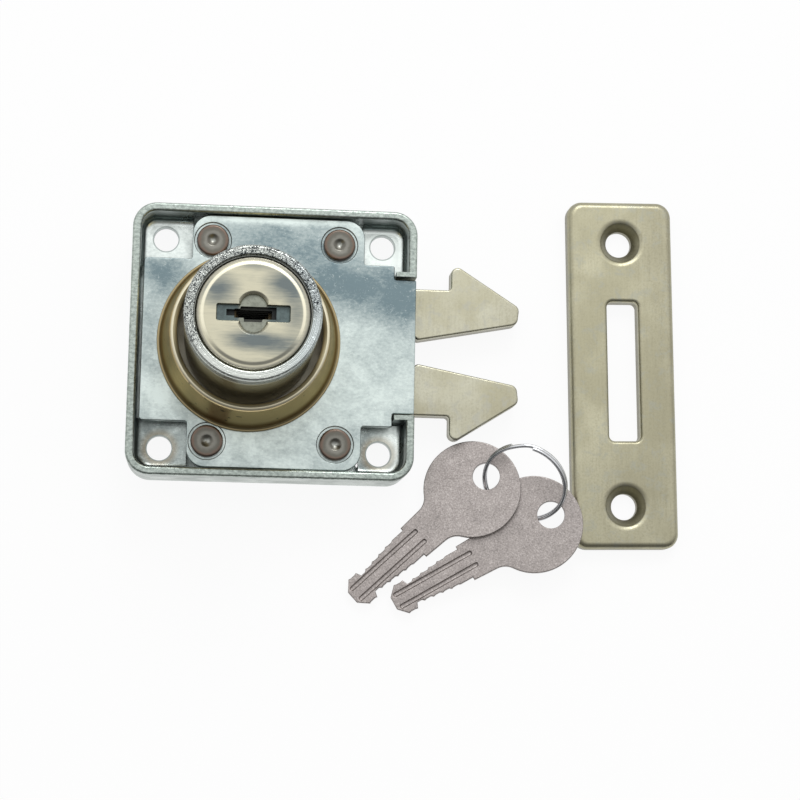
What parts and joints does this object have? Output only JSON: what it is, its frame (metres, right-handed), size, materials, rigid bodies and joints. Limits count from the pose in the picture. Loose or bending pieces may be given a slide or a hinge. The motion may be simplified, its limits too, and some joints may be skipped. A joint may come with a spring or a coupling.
{
  "type": "cabinet lock",
  "caption": "Cabinet lock with a round barrel, a screw-on case and two barbed hooks that fold together, with its strike plate and keys on a split ring.",
  "frame": {"origin": "on the barrel's axis, in the plane of the case's rim, which lies against the inside of the door", "axes": "+Z out through the door along the barrel, +X towards the hooks, +Y towards the upper hook"},
  "size_m": [0.0797, 0.0612, 0.0315],
  "materials": {
    "zinc_steel": "zinc plated, mottled",
    "rivet_steel": "peened",
    "zinc_alloy": "dull cast",
    "collar_brass": "dark lacquered",
    "chrome_ring": "bright plated",
    "plain_steel": "plain",
    "satin_cap": "satin",
    "spring_wire": "drawn wire",
    "hook_nickel": "satin nickel plated",
    "strike_nickel": "satin nickel plated",
    "key_nickel": "satin nickel plated",
    "wafer_brass": "plain"
  },
  "bodies": {
    "lock_body": {"case": "zinc_steel", "cover_plate": "zinc_steel", "cover_rivets": "rivet_steel", "barrel": "zinc_alloy", "front_ring": "chrome_ring", "barrel_nut": "plain_steel", "pivot_pins": "plain_steel"},
    "collar_body": {"base_collar": "collar_brass"},
    "plug_body": {"plug": "zinc_alloy", "plug_cap": "satin_cap", "driver_plate": "plain_steel", "driver_screw": "plain_steel", "plug_clip": "plain_steel", "wafer_springs": "spring_wire"},
    "upper_hook_body": {"upper_hook": "hook_nickel", "upper_cam_pin": "plain_steel"},
    "lower_hook_body": {"lower_hook": "hook_nickel", "lower_cam_pin": "plain_steel"},
    "strike_body": {"strike_plate": "strike_nickel"},
    "ring_body": {"key_ring": "chrome_ring"},
    "key_1_body": {"key_1": "key_nickel"},
    "key_2_body": {"key_2": "key_nickel"},
    "wafer_1_body": {"wafer_1": "wafer_brass"},
    "wafer_2_body": {"wafer_2": "wafer_brass"},
    "wafer_3_body": {"wafer_3": "wafer_brass"},
    "wafer_4_body": {"wafer_4": "wafer_brass"},
    "wafer_5_body": {"wafer_5": "wafer_brass"},
    "wafer_6_body": {"wafer_6": "wafer_brass"}
  },
  "joints": [
    {"name": "plug_turn", "type": "hinge", "parent": "lock_body", "child": "plug_body", "pos_m": [0, 0, 0], "axis": [0, 0, 1], "range_deg": [0, 90]},
    {"name": "upper_hook_swing", "type": "hinge", "parent": "lock_body", "child": "upper_hook_body", "pos_m": [0.016, 0.0044, 0], "axis": [0, 0, 1], "range_deg": [-10.5, 0]},
    {"name": "lower_hook_swing", "type": "hinge", "parent": "lock_body", "child": "lower_hook_body", "pos_m": [0.016, -0.0044, 0], "axis": [0, 0, 1], "range_deg": [0, 10.5]},
    {"name": "wafer_1_slide", "type": "slide", "parent": "plug_body", "child": "wafer_1_body", "axis": [1, 0, 0], "range_m": [0, 0.0007], "stiffness_N_per_m": 60, "springref_m": 0.0007},
    {"name": "wafer_2_slide", "type": "slide", "parent": "plug_body", "child": "wafer_2_body", "axis": [-1, 0, 0], "range_m": [0, 0.0007], "stiffness_N_per_m": 60, "springref_m": 0.0007},
    {"name": "wafer_3_slide", "type": "slide", "parent": "plug_body", "child": "wafer_3_body", "axis": [1, 0, 0], "range_m": [0, 0.0007], "stiffness_N_per_m": 60, "springref_m": 0.0007},
    {"name": "wafer_4_slide", "type": "slide", "parent": "plug_body", "child": "wafer_4_body", "axis": [-1, 0, 0], "range_m": [0, 0.0007], "stiffness_N_per_m": 60, "springref_m": 0.0007},
    {"name": "wafer_5_slide", "type": "slide", "parent": "plug_body", "child": "wafer_5_body", "axis": [1, 0, 0], "range_m": [0, 0.0007], "stiffness_N_per_m": 60, "springref_m": 0.0007},
    {"name": "wafer_6_slide", "type": "slide", "parent": "plug_body", "child": "wafer_6_body", "axis": [-1, 0, 0], "range_m": [0, 0.0007], "stiffness_N_per_m": 60, "springref_m": 0.0007},
    {"name": "collar_lift", "type": "slide", "parent": "lock_body", "child": "collar_body", "axis": [0, 0, 1], "range_m": [0, 0.03]},
    {"name": "strike_lift", "type": "slide", "parent": "lock_body", "child": "strike_body", "axis": [0, 0, 1], "range_m": [0, 0.03]},
    {"name": "ring_lift", "type": "slide", "parent": "lock_body", "child": "ring_body", "axis": [0, 0, 1], "range_m": [0, 0.03]},
    {"name": "key_1_swing", "type": "hinge", "parent": "ring_body", "child": "key_1_body", "pos_m": [0.0345, -0.01716, -0.00683], "axis": [-0.1615, 0.0646, 0.9848], "range_deg": [0, 8]},
    {"name": "key_2_swing", "type": "hinge", "parent": "ring_body", "child": "key_2_body", "pos_m": [0.04411, -0.02265, -0.00616], "axis": [-0.1446, 0.0458, 0.9884], "range_deg": [0, 16]}
  ],
  "couplings": [
    {"joint": "upper_hook_swing", "follows": "plug_turn", "ratio": -0.11667},
    {"joint": "lower_hook_swing", "follows": "plug_turn", "ratio": 0.11667}
  ]
}
